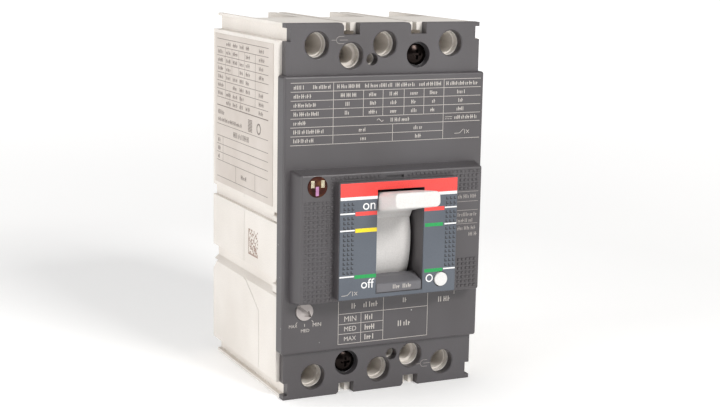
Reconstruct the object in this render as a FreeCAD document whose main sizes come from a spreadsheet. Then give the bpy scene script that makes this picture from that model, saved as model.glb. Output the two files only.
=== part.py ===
"""A three-pole moulded-case circuit breaker, switched on.

+X is to the right, +Y goes back into the mounting plate and +Z is up. The origin is the
centre of the back face, so every depth below is a distance in front of that face (-Y).
"""
import FreeCAD, Part
import math
import os
import re
import Sketcher

Vector = FreeCAD.Vector
Rotation = FreeCAD.Rotation

DIMENSIONS = {
    # outside of the case
    "case_width": 76.2,
    "case_height": 130.0,
    "pole_pitch": 25.4,
    "seam_depth": 33.2,
    "body_depth": 64.6,
    "terminal_face": 68.0,
    "band_face": 70.0,
    "nose_face": 77.0,
    "plateau_face": 80.2,
    "mask_face": 80.5,
    "back_wall": 4.0,
    "front_wall": 2.6,
    "lip_half": 36.3,
    "shoulder_half": 34.9,
    "shoulder_height": 59.1,
    "lip_height": 63.95,
    # pole cavities and the walls between them
    "wall_half": 1.3,
    "cavity_outer": 34.4,
    "cavity_end": 45.0,
    "bay_half": 9.05,
    "bay_start": 47.0,
    "bay_rear_top": 62.0,
    "bar_end": 63.4,
    "bar_seat": 17.0,
    "bar_front": 20.0,
    "bar_half": 7.0,
    "strip_half": 5.0,
    # holes in the front
    "access_height": 57.7,
    "access_radius": 4.4,
    "mount_height": 53.9,
    "mount_radius": 2.25,
    "small_hole_radius": 2.1,
    # handle, its slot and its drum
    "mech_centre": 1.0,
    "slot_left": -7.75,
    "slot_right": 9.9,
    "slot_top": 9.5,
    "slot_bottom": -26.4,
    "pivot_depth": 44.0,
    "pivot_height": -10.5,
    "drum_radius": 28.5,
    "drum_wall": 2.0,
    "drum_half": 8.1,
    # moving contacts
    "shaft_depth": 26.0,
    "shaft_height": -2.0,
    "shaft_radius": 7.5,
    "arm_half": 1.6,
    # toggle linkage
    "knee_depth": 40.0,
    "knee_height": 4.0,
    "hook_depth": 50.0,
    "hook_height": 10.0,
    "crank_depth": 31.0,
    "crank_height": 6.5,
    "cradle_depth": 42.4,
    "cradle_height": 17.0,
    "latch_depth": 52.0,
    "latch_height": -20.0,
    "anchor_depth": 60.0,
    "anchor_height": 4.0,
    "pin_radius": 1.2,
    # trip bar and its levers
    "trip_depth": 40.0,
    "trip_height": -31.3,
    "trip_radius": 2.6,
    "button_across": 17.1,
    "button_height": -23.3,
    "button_radius": 2.42,
    "armature_depth": 34.4,
    "armature_height": -37.2,
    # current adjuster
    "dial_across": -29.9,
    "dial_height": -33.3,
    "dial_radius": 3.1,
}

PLATE_COUNT = 9
PLATE_PITCH = 3.3
POLES = (("left", -1), ("centre", 0), ("right", 1))
ENDS = (("line", 1), ("load", -1))

doc = FreeCAD.newDocument("circuit_breaker")
sheet = doc.addObject("Spreadsheet::Sheet", "dims")
for row, (alias, value) in enumerate(DIMENSIONS.items(), start=1):
    sheet.set(f"A{row}", alias)
    sheet.set(f"B{row}", str(value))
    sheet.setAlias(f"B{row}", alias)
doc.recompute()


# ---------------------------------------------------------------- helpers

def formula(text):
    """The text with every sheet alias given its full name."""
    return re.sub(r"\b[a-z]+(?:_[a-z]+)+\b", lambda found: "dims." + found.group(0), str(text))


def number(text):
    """What a formula comes to, in millimetres."""
    value = sheet.evalExpression(formula(text))
    return float(getattr(value, "Value", value))


def bind(thing, **formulas):
    """Tie properties of a document object to sheet formulas."""
    for name, text in formulas.items():
        thing.setExpression(name, formula(text))


def move_to(thing, corner):
    """Tie the place of a document object to three sheet formulas."""
    for axis, text in zip("xyz", corner):
        thing.setExpression(f"Placement.Base.{axis}", formula(text))


def rectangle(left, low, right, high):
    """The corners of an upright rectangle."""
    return [(left, low), (right, low), (right, high), (left, high)]


def circle(across, up, radius):
    """A round outline."""
    return ("circle", across, up, radius)


def about(across, up, points):
    """Points given from a centre."""
    return [(f"{across} + ({u})", f"{up} + ({v})") for u, v in points]


def pin_point(sketch, geometry, place, across, up):
    """Hold one sketch point at a distance from the origin that the sheet gives."""
    for kind, text in (("DistanceX", across), ("DistanceY", up)):
        limit = Sketcher.Constraint(kind, -1, 1, geometry, place, number(text))
        index = sketch.addConstraint(limit)
        sketch.setExpression(f"Constraints[{index}]", formula(text))


def draw(sketch, outlines):
    """Fill a sketch with closed outlines whose points follow the sheet."""
    for outline in outlines:
        if outline[0] == "circle":
            across, up, radius = outline[1:]
            centre = Vector(number(across), number(up), 0)
            index = sketch.addGeometry(Part.Circle(centre, Vector(0, 0, 1), number(radius)), False)
            pin_point(sketch, index, 3, across, up)
            limit = sketch.addConstraint(Sketcher.Constraint("Radius", index, number(radius)))
            sketch.setExpression(f"Constraints[{limit}]", formula(radius))
            continue
        corners = [Vector(number(u), number(v), 0) for u, v in outline]
        first = sketch.GeometryCount
        count = len(corners)
        for i, corner in enumerate(corners):
            sketch.addGeometry(Part.LineSegment(corner, corners[(i + 1) % count]), False)
        for i in range(count):
            follower = first + (i + 1) % count
            sketch.addConstraint(Sketcher.Constraint("Coincident", first + i, 2, follower, 1))
        for i, (u, v) in enumerate(outline):
            pin_point(sketch, first + i, 1, u, v)


def add_profile(body, name, plane, height, outlines):
    """A sketch on one of the body's own planes, raised by height."""
    sketch = body.newObject("Sketcher::SketchObject", name)
    support = next(item for item in body.Origin.OriginFeatures if item.Role == plane)
    sketch.AttachmentSupport = [(support, "")]
    sketch.MapMode = "FlatFace"
    sketch.setExpression("AttachmentOffset.Base.z", formula(height))
    draw(sketch, outlines)
    return sketch


def pad(body, name, plane, start, length, outlines):
    """Add material from the start height onwards."""
    name = f"{body.Name}_{name}"
    profile = add_profile(body, name + "_sketch", plane, start, outlines)
    feature = body.newObject("PartDesign::Pad", name)
    feature.Profile = profile
    bind(feature, Length=length)
    doc.recompute()
    return feature


def pocket(body, name, plane, start, depth, outlines, forwards=False):
    """Remove material from the start height back towards the plane, or forwards."""
    name = f"{body.Name}_{name}"
    before = body.Shape.Volume
    profile = add_profile(body, name + "_sketch", plane, start, outlines)
    feature = body.newObject("PartDesign::Pocket", name)
    feature.Profile = profile
    feature.Reversed = forwards
    bind(feature, Length=depth)
    doc.recompute()
    if not body.Shape.Volume < before - 1e-3:
        raise RuntimeError(f"{name} removed nothing")
    return feature


def new_body(label):
    """An empty PartDesign body that becomes one sub-part."""
    body = doc.addObject("PartDesign::Body", label)
    body.Label = label
    return body


def runs_along(edge, axis):
    """Whether the ends of an edge lie one behind the other along an axis."""
    span = edge.valueAt(edge.LastParameter) - edge.valueAt(edge.FirstParameter)
    return span.Length > 0 and abs(getattr(span, axis)) > 0.99 * span.Length


def edges_where(feature, test):
    """Names of the feature's edges whose middle point and direction pass a test."""
    names = []
    for index, edge in enumerate(feature.Shape.Edges, start=1):
        middle = edge.valueAt((edge.FirstParameter + edge.LastParameter) / 2)
        if test(edge, middle):
            names.append(f"Edge{index}")
    return names


def round_edges(body, base, name, radius, test, kind="PartDesign::Fillet"):
    """Fillet or chamfer the edges of a feature that pass a test."""
    feature = body.newObject(kind, f"{body.Name}_{name}")
    feature.Base = (base, edges_where(base, test))
    bind(feature, **{"Radius" if kind.endswith("Fillet") else "Size": radius})
    doc.recompute()
    return feature


def box(name, corner, size):
    """A block from its lowest corner."""
    solid = doc.addObject("Part::Box", name)
    bind(solid, Length=size[0], Width=size[1], Height=size[2])
    move_to(solid, corner)
    return solid


TURN = {
    "X": Rotation(Vector(0, 1, 0), 90),
    "Y": Rotation(Vector(1, 0, 0), -90),
    "Z": Rotation(),
}


def rod(name, axis, start, radius, length):
    """A round bar along an axis from the centre of its first end."""
    solid = doc.addObject("Part::Cylinder", name)
    solid.Placement = FreeCAD.Placement(Vector(), TURN[axis])
    bind(solid, Radius=radius, Height=length)
    move_to(solid, start)
    return solid


def prism(name, points, start, length, holes=()):
    """A plate whose outline lies in the Y-Z plane, from start along +X."""
    body = new_body(name)
    pad(body, "plate", "YZ_Plane", start, length, [points, *holes])
    return body


def fuse(label, pieces):
    """One solid from overlapping pieces."""
    joined = doc.addObject("Part::MultiFuse", label)
    joined.Shapes = pieces
    joined.Label = label
    return joined


def cut(label, base, tools):
    """The base with every tool taken away."""
    tool = tools[0]
    if len(tools) > 1:
        tool = doc.addObject("Part::Compound", label + "_tools")
        tool.Links = tools
    result = doc.addObject("Part::Cut", label)
    result.Base = base
    result.Tool = tool
    result.Label = label
    return result


def group(label, pieces):
    """Several separate solids that make one sub-part."""
    together = doc.addObject("Part::Compound", label)
    together.Links = pieces
    together.Label = label
    return together


def coil(name, axis, start, radius, wire, pitch, height):
    """A wire spring along an axis."""
    spine = doc.addObject("Part::Helix", name + "_spine")
    bind(spine, Radius=radius, Pitch=pitch, Height=height)
    spine.SegmentLength = 0
    section = doc.addObject("Part::Circle", name + "_wire")
    bind(section, Radius=wire)
    section.Placement = FreeCAD.Placement(Vector(), Rotation(Vector(1, 0, 0), 90))
    section.setExpression("Placement.Base.x", formula(radius))
    spring = doc.addObject("Part::Sweep", name)
    spring.Sections = [section]
    spring.Spine = (spine, ["Edge1"])
    spring.Solid = True
    spring.Frenet = True
    spring.Placement = FreeCAD.Placement(Vector(), TURN[axis])
    move_to(spring, start)
    return spring


def pole(side):
    """The middle of a pole across the case."""
    return f"{side} * pole_pitch"


def from_mech(distance):
    """A place across the case measured from the middle of the mechanism."""
    return f"mech_centre + ({distance})"


# ---------------------------------------------------------------- case

def case_outline():
    """The front view of the case, with the grooves and lips down both sides."""
    half = "case_width / 2"
    top = "case_height / 2"
    right = [
        ("lip_half", top),
        ("lip_half", "lip_height"),
        ("shoulder_half", "lip_height"),
        ("shoulder_half", "shoulder_height"),
        (half, "shoulder_height"),
        (half, "0.7"),
        (f"{half} - 1.35", "0.7"),
        (f"{half} - 1.35", "-3.2"),
        (half, "-3.2"),
        (half, "-22.6"),
        (f"{half} - 2.1", "-22.6"),
        (f"{half} - 2.1", "-27.0"),
        (half, "-28.8"),
        (half, "-shoulder_height"),
        ("shoulder_half", "-shoulder_height"),
        ("shoulder_half", "-lip_height"),
        ("lip_half", "-lip_height"),
        ("lip_half", f"-{top}"),
    ]
    left = [(f"-({u})", v) for u, v in reversed(right)]
    return right + left


def cavity_outlines():
    """The three pole cavities."""
    inner = "pole_pitch / 2"
    low, high = "-cavity_end", "cavity_end"
    return [
        rectangle("-cavity_outer", low, f"-{inner} - wall_half", high),
        rectangle(f"-{inner} + wall_half", low, f"{inner} - wall_half", high),
        rectangle(f"{inner} + wall_half", low, "cavity_outer", high),
    ]


def barrier_slots(body, start, depth):
    """T-slots in the ribs at both ends that take the insulating phase barriers."""
    necks, heads = [], []
    for side in (-1, 1):
        middle = f"{side} * pole_pitch / 2"
        for _, end in ENDS:
            low, high = ("62.2", "66") if end > 0 else ("-66", "-62.2")
            necks.append(rectangle(f"{middle} - 0.8", low, f"{middle} + 0.8", high))
            low, high = ("60.6", "62.21") if end > 0 else ("-62.21", "-60.6")
            heads.append(rectangle(f"{middle} - 2.2", low, f"{middle} + 2.2", high))
    pocket(body, "barrier_necks", "XZ_Plane", start, depth, necks)
    pocket(body, "barrier_heads", "XZ_Plane", start, depth, heads)


def shaft_bore():
    """Room through the pole walls for the contact shaft and the trip bar."""
    return [
        circle("-shaft_depth", "shaft_height", "shaft_radius + 0.3"),
        circle("-trip_depth", "trip_height", "trip_radius + 0.5"),
    ]


SCREW_MOUNTS = ((-1, 1), (1, -1))
COVER_SCREWS = ((1, 1), (-1, -1))


def at_corners(corners, radius, height="mount_height"):
    """Round outlines in the ribs between the poles."""
    return [circle(f"{x} * pole_pitch / 2", f"{z} * {height}", radius) for x, z in corners]


def at_poles(radius, height="access_height"):
    """Round outlines over the six terminals."""
    return [circle(pole(k), f"{end} * {height}", radius) for _, k in POLES for _, end in ENDS]


def ear_outline(gap=0):
    """The step of the seam towards the front on the lower part of each side. The ear itself is
    smaller than its recess by a gap."""
    return [
        ("-seam_depth", f"-29.0 - {gap}"),
        (f"-35.0 + {gap / 2}", f"-29.0 - {gap}"),
        (f"-48.0 + {gap}", f"-37.7 - {gap / 2}"),
        (f"-48.0 + {gap}", "-shoulder_height"),
        ("-seam_depth", "-shoulder_height"),
    ]


def seam_groove(base):
    """A fine groove down both sides of the base, along its edge with the front moulding."""
    strip = [rectangle("-seam_depth - 0.1", "-29.2", "-seam_depth + 0.28", "shoulder_height")]
    pocket(base, "right_seam", "YZ_Plane", "39", "1.4", strip)
    pocket(base, "left_seam", "YZ_Plane", "-37.6", "1.4", strip)


def make_base():
    """The rear moulding: back wall, terminal bays and the rear halves of the cavities."""
    base = new_body("base_moulding")
    pad(base, "block", "XZ_Plane", "0", "seam_depth", [case_outline()])
    pad(base, "right_ear", "YZ_Plane", "case_width / 2 - 2.1", "2.1", [ear_outline(0.24)])
    pad(base, "left_ear", "YZ_Plane", "-case_width / 2", "2.1", [ear_outline(0.24)])
    pocket(base, "cavities", "XZ_Plane", "seam_depth", "seam_depth - back_wall", cavity_outlines())
    notches, bays, throats, nuts = [], [], [], []
    for _, k in POLES:
        for _, end in ENDS:
            left, right = f"{pole(k)} - bay_half", f"{pole(k)} + bay_half"
            notches.append(rectangle(left, f"{end} * bay_rear_top", right, f"{end} * 66"))
            bays.append(rectangle(left, f"{end} * bay_start", right, f"{end} * bay_rear_top"))
            left, right = f"{pole(k)} - strip_half - 0.2", f"{pole(k)} + strip_half + 0.2"
            throats.append(rectangle(left, f"{end} * cavity_end", right, f"{end} * bay_start"))
            left, right = f"{pole(k)} - 5.1", f"{pole(k)} + 5.1"
            low, high = f"{end} * access_height - 5.1", f"{end} * access_height + 5.1"
            nuts.append(rectangle(left, low, right, high))
    depth = "seam_depth - bar_seat"
    pocket(base, "bay_tops", "XZ_Plane", "seam_depth", "seam_depth", notches)
    pocket(base, "bays", "XZ_Plane", "seam_depth", depth, bays)
    pocket(base, "throats", "XZ_Plane", "seam_depth", depth, throats)
    pocket(base, "nut_seats", "XZ_Plane", "bar_seat", "5.2", nuts)
    ledges = []
    for _, k in POLES:
        ledges.append(rectangle(f"{pole(k)} - 6", "28", f"{pole(k)} + 6", "cavity_end"))
        ledges.append(rectangle(f"{pole(k)} - 6", "-cavity_end", f"{pole(k)} + 6", "-37.5"))
    pad(base, "ledges", "XZ_Plane", "back_wall", "bar_seat - back_wall", ledges)
    barrier_slots(base, "seam_depth", "seam_depth")
    pocket(base, "mount_holes", "XZ_Plane", "seam_depth", "seam_depth",
           at_corners(SCREW_MOUNTS, "mount_radius"))
    pocket(base, "screw_holes", "XZ_Plane", "seam_depth", "14", at_corners(COVER_SCREWS, "1.3"))
    corners = [(x, z) for x in (-1, 1) for z in (-1, 1)]
    pocket(base, "rear_screw_holes", "XZ_Plane", "seam_depth", "seam_depth",
           at_corners(corners, "1.3", "47.4"))
    pocket(base, "rear_screw_seats", "XZ_Plane", "0", "3", at_corners(corners, "2.9", "47.4"), True)
    pocket(base, "shaft_bores", "YZ_Plane", "34.3", "68.6", shaft_bore())
    panels = []
    for _, k in POLES:
        left, right = f"{pole(k)} - 9.4", f"{pole(k)} + 9.4"
        panels += [rectangle(left, "3", right, "40"), rectangle(left, "-40", right, "-3")]
    pocket(base, "back_panels", "XZ_Plane", "0", "1.2", panels, True)
    corner = [("1", "-28.4"), ("-4.1", "-28.4"), ("0", "-32.2"), ("1", "-33.1")]
    foot = [("1", "-61"), ("-4.9", "-61"), ("-4.9", "-60.5"), ("0", "-58.7"), ("1", "-58.3")]
    inner = "case_width / 2 - 2.1"
    pocket(base, "right_bevels", "YZ_Plane", "39", f"39 - ({inner})", [corner, foot])
    pocket(base, "left_bevels", "YZ_Plane", f"-({inner})", f"39 - ({inner})", [corner, foot])
    seam_groove(base)
    return base


def make_body():
    """The front moulding: front halves of the cavities, end blocks and screw tunnels."""
    body = new_body("body_moulding")
    depth = "body_depth - seam_depth"
    pad(body, "block", "XZ_Plane", "seam_depth", depth, [case_outline()])
    pocket(body, "right_ear", "YZ_Plane", "case_width / 2", "2.1", [ear_outline()])
    pocket(body, "left_ear", "YZ_Plane", "2.1 - case_width / 2", "2.1", [ear_outline()])
    tongues = []
    for _, k in POLES:
        for _, end in ENDS:
            left, right = f"{pole(k)} - strip_half", f"{pole(k)} + strip_half"
            low, high = f"{end} * (cavity_end + 0.1)", f"{end} * (bay_start - 0.1)"
            tongues.append(rectangle(left, low, right, high))
    pad(body, "tongues", "XZ_Plane", "bar_front + 0.3", "seam_depth - bar_front + 0.7", tongues)
    inside = "body_depth - front_wall"
    pocket(body, "cavities", "XZ_Plane", inside, f"{inside} - seam_depth", cavity_outlines())
    window = rectangle(from_mech("-9.6"), "-37", from_mech("9.6"), "17.5")
    pocket(body, "window", "XZ_Plane", "body_depth", "4", [window])
    pocket(body, "tunnels", "XZ_Plane", "body_depth", depth, at_poles("3.75"))
    pocket(body, "tunnel_mouths", "XZ_Plane", "body_depth", "2.2", at_poles("4.15"))
    pocket(body, "mount_tunnels", "XZ_Plane", "body_depth", depth, at_corners(SCREW_MOUNTS, "3.0"))
    pocket(body, "mount_mouths", "XZ_Plane", "body_depth", "2.6", at_corners(SCREW_MOUNTS, "4.0"))
    pocket(body, "screw_holes", "XZ_Plane", "body_depth", depth, at_corners(COVER_SCREWS, "1.65"))
    small = [circle("-4.94", "52.6", "1.7"), circle("4.94", "-52.6", "1.7")]
    pocket(body, "small_holes", "XZ_Plane", "body_depth", "12", small)
    barrier_slots(body, "body_depth", depth)
    corners = [(x, z) for x in (-1, 1) for z in (-1, 1)]
    pocket(body, "rear_screw_holes", "XZ_Plane", "seam_depth + 12", "12",
           at_corners(corners, "1.3", "47.4"))
    pocket(body, "shaft_bores", "YZ_Plane", "34.3", "68.6", shaft_bore())
    slide_way = rectangle("-60.5", "-43.4", "-57.2", "-39.7")
    pocket(body, "slide_way", "YZ_Plane", "34.3", "68.6", [slide_way])
    stems = [circle("button_across", "button_height", "1.6"),
             circle("dial_across", "dial_height", "1.68")]
    pocket(body, "stem_holes", "XZ_Plane", "body_depth", "4", stems)
    windows = [rectangle("-64.2", "-3.2", "-58.9", "0.2"),
               rectangle("-64.2", "-28.2", "-58.9", "-23.6")]
    pocket(body, "right_windows", "YZ_Plane", "39", "4", windows)
    pocket(body, "left_windows", "YZ_Plane", "-35", "4", windows)
    return body


# ---------------------------------------------------------------- cover and front pieces

def cover_notches():
    """Cut-outs in the ends of the cover: between the poles, and at the four corners."""
    cuts = []
    for _, end in ENDS:
        for side in (-1, 1):
            middle = f"{side} * pole_pitch / 2"
            cuts.append([
                (f"{middle} - 3.8", f"{end} * 65.01"),
                (f"{middle} - 2.95", f"{end} * 64.1"),
                (f"{middle} - 2.95", f"{end} * 61.1"),
                (f"{middle} + 2.95", f"{end} * 61.1"),
                (f"{middle} + 2.95", f"{end} * 65.01"),
            ])
            inner, outer = f"{side} * 35.1", f"{side} * 37"
            cuts.append(rectangle(inner, f"{end} * 59", outer, f"{end} * 63.5"))
    return cuts


def make_cover():
    """The dark front cover: terminal bands, wide band, nose and the plateau round the handle."""
    cover = new_body("front_cover")
    start = "body_depth"
    half = "case_width / 2"
    ends = rectangle("-36.7", "-case_height / 2", "36.7", "case_height / 2")
    pad(cover, "terminal_bands", "XZ_Plane", start, "terminal_face - body_depth", [ends])
    wide = rectangle(f"-{half}", "-48.3", half, "47.7")
    band = pad(cover, "wide_band", "XZ_Plane", start, "band_face - body_depth", [wide])

    def outer_rim(edge, middle):
        on_face = abs(middle.y + number("band_face")) < 0.01
        on_side = abs(abs(middle.x) - number(half)) < 0.01
        return on_face and edge.Length > 20 or on_side and edge.Length < 6 and edge.Length > 5

    round_edges(cover, band, "band_rounding", "0.9", outer_rim)
    root = add_profile(cover, "nose_root", "XZ_Plane", "band_face - 0.5",
                       [rectangle("-35.8", "-30.1", "35.8", "16.2")])
    crest = add_profile(cover, "nose_crest", "XZ_Plane", "nose_face",
                        [rectangle("-34.4", "-29.1", "34.4", "15.2")])
    nose = cover.newObject("PartDesign::AdditiveLoft", "nose")
    nose.Profile = root
    nose.Sections = [crest]
    nose.Ruled = True
    doc.recompute()

    def nose_rim(edge, middle):
        flat = abs(middle.y + number("nose_face")) < 0.01
        slanted = -76.5 < middle.y < -70.5 and abs(middle.x) > 34
        return flat or slanted

    round_edges(cover, nose, "nose_rounding", "0.8", nose_rim)
    plate = rectangle("-22", "-28.1", "23.1", "12.7")
    rise = "plateau_face - nose_face + 1"
    plateau = pad(cover, "plateau", "XZ_Plane", "nose_face - 1", rise, [plate])

    def plateau_corners(edge, middle):
        return runs_along(edge, "y") and middle.y < -77.5

    round_edges(cover, plateau, "plateau_rounding", "0.7", plateau_corners)
    hollow = rectangle("-33.2", "-27.6", "33.2", "13.8")
    pocket(cover, "nose_hollow", "XZ_Plane", "75.2", "75.2 - body_depth", [hollow])
    hollow = rectangle("-20", "-26.2", "21", "10.8")
    pocket(cover, "plateau_hollow", "XZ_Plane", "78.4", "3.4", [hollow])
    bands = [rectangle("-36", "18", "36", "46"), rectangle("-26", "-46.5", "36", "-32")]
    pocket(cover, "band_hollows", "XZ_Plane", "67.6", "67.6 - body_depth", bands)
    relief = rectangle(from_mech("-9"), "-33", from_mech("9"), "-27")
    pocket(cover, "drum_relief", "XZ_Plane", "67.6", "67.6 - body_depth", [relief])
    slot = rectangle("slot_left", "slot_bottom", "slot_right", "slot_top")
    pocket(cover, "handle_slot", "XZ_Plane", "mask_face", "12", [slot])
    holes = at_poles("access_radius") + at_corners(SCREW_MOUNTS, "access_radius")
    skirts = [rectangle("slot_left - 1.2", "-27.6", "slot_left", "10.8"),
              rectangle("slot_right", "-27.6", "slot_right + 1.2", "10.8")]
    pad(cover, "slot_sides", "XZ_Plane", start, "78.6 - body_depth", skirts)
    lintels = [rectangle("slot_left - 1", "slot_top", "slot_right + 1", "slot_top + 1.2"),
               rectangle("slot_left - 1", "slot_bottom - 1.2", "slot_right + 1", "slot_bottom")]
    pad(cover, "slot_ends", "XZ_Plane", "band_face", "78.6 - band_face", lintels)
    bores = pocket(cover, "access_holes", "XZ_Plane", "terminal_face", "6", holes)

    def hole_rim(edge, middle):
        on_face = abs(middle.y + number("terminal_face")) < 0.01
        return on_face and abs(edge.Length - 2 * math.pi * number("access_radius")) < 0.01

    round_edges(cover, bores, "hole_bevel", "0.35", hole_rim, "PartDesign::Chamfer")
    pocket(cover, "screw_seats", "XZ_Plane", "terminal_face", "2.7", at_corners(COVER_SCREWS, "4.45"))
    pocket(cover, "screw_holes", "XZ_Plane", "terminal_face", "6", at_corners(COVER_SCREWS, "1.8"))
    small = [circle("-4.94", "52.6", "small_hole_radius"), circle("4.94", "-52.6", "small_hole_radius")]
    pocket(cover, "small_holes", "XZ_Plane", "terminal_face", "6", small)
    pocket(cover, "notches", "XZ_Plane", "terminal_face + 1", "6", cover_notches())
    rounds = [circle("button_across", "button_height", "button_radius + 0.13"),
              circle("dial_across", "dial_height", "dial_radius + 0.12")]
    pocket(cover, "round_windows", "XZ_Plane", "mask_face", "18", rounds)
    slit = rectangle("-2.9", "12.85", "3.7", "13.75")
    pocket(cover, "nose_slit", "XZ_Plane", "nose_face", "0.9", [slit])
    return cover


def make_face_label():
    """The printed plate on the plateau, cut out round the handle slot and the button."""
    label = new_body("face_label")
    outline = rectangle("-21.7", "-27.8", "22.8", "12.4")
    hole = rectangle("slot_left - 0.15", "slot_bottom - 0.15", "slot_right + 0.15", "slot_top + 0.15")
    button = circle("button_across", "button_height", "button_radius + 0.3")
    pad(label, "sheet", "XZ_Plane", "plateau_face", "mask_face - plateau_face", [outline, hole, button])
    return label


def make_rating_block():
    """The plug that names the rating, wedged into the bottom of the handle slot."""
    points = [("-80.2", "-26.3"), ("-80.2", "-23.4"), ("-79.6", "-22.9"), ("-76", "-21.7"),
              ("-72.8", "-21.4"), ("-72.8", "-26.3")]
    return prism("rating_block", points, "slot_left + 0.2", "slot_right - slot_left - 0.4")


def make_screw(name, side, end, height, face, seat, tip, head_radius, shaft_radius, tool, dome=None):
    """A cross-head screw along Y: face is the depth of its head, tip that of its end, and dome
    the radius of a pan head's crown."""
    across, up = f"{side} * pole_pitch / 2", f"{end} * {height}"
    outward = face > seat
    first, last = (seat, face) if outward else (face, seat)
    head = rod(name + "_head", "Y", (across, f"-{last}", up), head_radius, f"{last - first}")
    if dome:
        crown = doc.addObject("Part::Sphere", name + "_crown")
        bind(crown, Radius=dome)
        move_to(crown, (across, f"-{face} + {dome}", up))
        flat = head
        head = doc.addObject("Part::MultiCommon", name + "_pan")
        head.Shapes = [flat, crown]
    low, high = sorted((seat, tip))
    shaft = rod(name + "_shaft", "Y", (across, f"-{high}", up), shaft_radius, f"{high - low}")
    solid = fuse(name + "_blank", [head, shaft])
    depth = 1.2
    back = face if outward else face + depth
    arms = []
    for axis, (wide, tall) in enumerate(((tool, 0.8), (0.8, tool))):
        corner = (f"{across} - {wide / 2}", f"-{back}", f"{up} - {tall / 2}")
        arms.append(box(f"{name}_cross_{axis}", corner, (wide, depth, tall)))
    return cut(name, solid, arms)


def make_screws():
    """The two screws of the cover and the four that come in from the back."""
    front = [make_screw(f"cover_screw_{i}", x, z, "mount_height", 67.2, 65.4, 20.5, "3.7", "1.3",
                        3.4, 7.6)
             for i, (x, z) in enumerate(COVER_SCREWS)]
    corners = [(x, z) for x in (-1, 1) for z in (-1, 1)]
    rear = [make_screw(f"case_screw_{i}", x, z, "47.4", 0.8, 3.0, 44.5, "2.7", "1.3", 3.4)
            for i, (x, z) in enumerate(corners)]
    return [group("cover_screws", front), group("case_screws", rear)]


# ---------------------------------------------------------------- current path

def make_terminal(name, side, end, inner_end):
    """A copper bar: a wide pad with a bolt hole, and a strip into the pole."""
    bar = new_body(name)
    x, low, high = pole(side), f"{end} * (bay_start + 0.2)", f"{end} * bar_end"
    outline = [
        (f"{x} - bar_half", low), (f"{x} - bar_half", high),
        (f"{x} + bar_half", high), (f"{x} + bar_half", low),
        (f"{x} + strip_half", low), (f"{x} + strip_half", inner_end),
        (f"{x} - strip_half", inner_end), (f"{x} - strip_half", low),
    ]
    hole = circle(x, f"{end} * access_height", "3.25")
    solid = pad(bar, "bar", "XZ_Plane", "bar_seat", "bar_front - bar_seat", [outline, hole])

    def pad_corners(edge, middle):
        outer = abs(abs(middle.z) - number("bar_end")) < 0.01
        return outer and runs_along(edge, "y")

    round_edges(bar, solid, "corners", "1.2", pad_corners)
    return bar


def make_nuts():
    """Square captive nuts behind the terminal bars."""
    nuts = []
    for name, k in POLES:
        for word, end in ENDS:
            up = f"{end} * access_height"
            blank = box(f"nut_{word}_{name}_blank", (f"{pole(k)} - 5", "-bar_seat", f"{up} - 5"),
                        ("10", "5", "10"))
            hole = rod(f"nut_{word}_{name}_hole", "Y", (pole(k), "-bar_seat - 1", up), "2.5", "7")
            nuts.append(cut(f"nut_{word}_{name}", blank, [hole]))
    return group("terminal_nuts", nuts)


def make_contacts():
    """Silver tips: three on the fixed bars and three on the moving arms."""
    fixed, moving = [], []
    for name, k in POLES:
        corner = (f"{pole(k)} - 3", "-bar_front - 2", "31")
        fixed.append(box(f"fixed_tip_{name}", corner, ("6", "2", "6")))
        moving.append(box(f"moving_tip_{name}", (f"{pole(k)} - 3", "-bar_front - 4.1", "31.5"),
                          ("6", "2", "5")))
    return [group("fixed_contacts", fixed), group("moving_contacts", moving)]


def make_arm(name, side):
    """A moving contact arm, from its tail at the braid up to its tip."""
    points = [("-24.1", "38.5"), ("-24.1", "10"), ("-23.1", "5"), ("-23.1", "-9"), ("-24.4", "-12"),
              ("-28.6", "-12"), ("-29.9", "-9"), ("-29.9", "5"), ("-29", "12"), ("-27.4", "38.5")]
    return prism(f"contact_arm_{name}", points, f"{pole(side)} - arm_half", "2 * arm_half")


def make_shaft():
    """The insulating shaft that carries the three arms, with two lugs for the linkage."""
    blank = rod("shaft_blank", "X", ("-33.9", "-shaft_depth", "shaft_height"), "shaft_radius", "67.8")
    lug = [("-33.4", "1"), ("-34", "6.5"), ("-32.6", "8.9"), ("-30.2", "9.3"), ("-28.4", "7.4"),
           ("-27", "0")]
    eye = [circle("-crank_depth", "crank_height", "pin_radius")]
    lugs = [prism("lug_left", lug, from_mech("-4"), "1", eye),
            prism("lug_right", lug, from_mech("3"), "1", eye)]
    slots = [box(f"arm_slot_{name}", (f"{pole(k)} - arm_half - 0.1", "-30.1", "-12"),
                 ("2 * arm_half + 0.2", "7.2", "20")) for name, k in POLES]
    barrel = cut("shaft_barrel", blank, slots)
    shaft = fuse("contact_shaft", [barrel, *lugs])
    place = (from_mech("-5.3"), "-crank_depth", "crank_height")
    pin = rod("crank_pin", "X", place, "pin_radius", "10.6")
    return [shaft, pin]


def make_braids():
    """Flexible copper braids from the arms to the heater strips."""
    points = [("-28.2", "-12.1"), ("-25", "-12.1"), ("-24.6", "-17"), ("-23", "-20.6"),
              ("-20.1", "-22.4"), ("-20.1", "-26.4"), ("-23.6", "-24.4"), ("-26.6", "-20.6"),
              ("-28", "-17")]
    ribbons = [prism(f"braid_{name}", points, f"{pole(k)} - 2.5", "5") for name, k in POLES]
    return group("braids", ribbons)


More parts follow.
